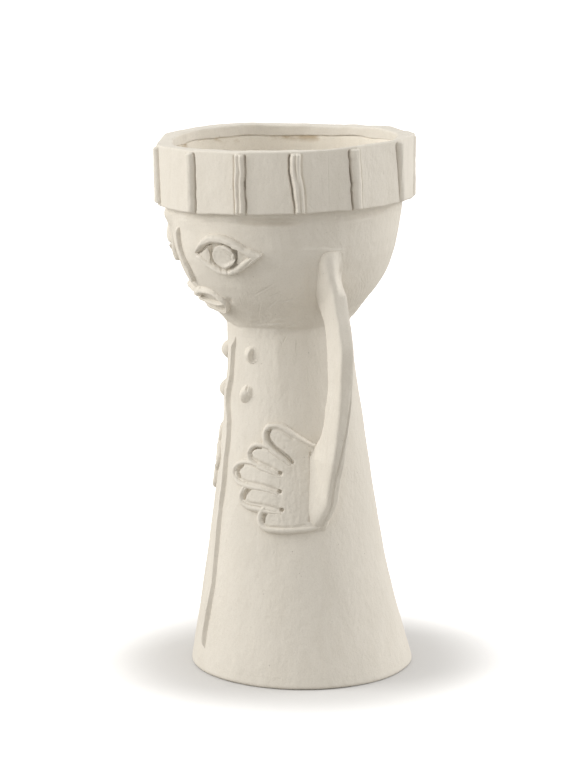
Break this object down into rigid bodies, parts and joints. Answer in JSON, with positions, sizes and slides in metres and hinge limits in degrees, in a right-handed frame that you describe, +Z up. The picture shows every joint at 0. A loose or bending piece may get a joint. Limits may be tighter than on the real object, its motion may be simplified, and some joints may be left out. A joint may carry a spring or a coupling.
{
  "type": "face vase",
  "caption": "Tall hand-built clay vase with a bowl-shaped head, relief face, ribbed rim band and slab arms that end in hands on the tapering body; open down to the floor.",
  "frame": {"origin": "centre of the underside of the base", "axes": "+Z up, the face looks toward -Y, the figure's left arm is at +X"},
  "size_m": [0.2108, 0.1974, 0.4047],
  "materials": {
    "clay_body": "matt unglazed fired clay, smoothed by hand",
    "clay_head": "matt unglazed fired clay outside, a little smoother and warmer inside",
    "clay_band": "matt unglazed fired clay",
    "clay_arm": "matt unglazed fired clay",
    "clay_trim": "matt unglazed fired clay"
  },
  "bodies": {
    "root": {"base_slab": "clay_body", "body_cone": "clay_body", "button_left_lower": "clay_trim", "button_left_upper": "clay_trim", "button_right_lower": "clay_trim", "button_right_upper": "clay_trim", "head_bowl": "clay_head", "left_arm": "clay_arm", "left_eye_inner_wedge": "clay_trim", "left_eye_iris": "clay_trim", "left_eye_lower_lid": "clay_trim", "left_eye_outer_wedge": "clay_trim", "left_eye_upper_lid": "clay_trim", "left_hand_coil": "clay_arm", "left_hand_slab": "clay_arm", "lower_lip": "clay_trim", "mouth_line": "clay_trim", "nose_ridge": "clay_trim", "placket_ridge": "clay_trim", "right_arm": "clay_arm", "right_eye_inner_wedge": "clay_trim", "right_eye_iris": "clay_trim", "right_eye_lower_lid": "clay_trim", "right_eye_outer_wedge": "clay_trim", "right_eye_upper_lid": "clay_trim", "right_hand_coil": "clay_arm", "right_hand_slab": "clay_arm", "rim_band": "clay_band", "rim_rib_01": "clay_band", "rim_rib_02": "clay_band", "rim_rib_03": "clay_band", "rim_rib_04": "clay_band", "rim_rib_05": "clay_band", "rim_rib_06": "clay_band", "rim_rib_07": "clay_band", "rim_rib_08": "clay_band", "rim_rib_09": "clay_band", "rim_rib_10": "clay_band", "rim_rib_11": "clay_band", "rim_rib_12": "clay_band", "upper_lip": "clay_trim"}
  },
  "joints": []
}
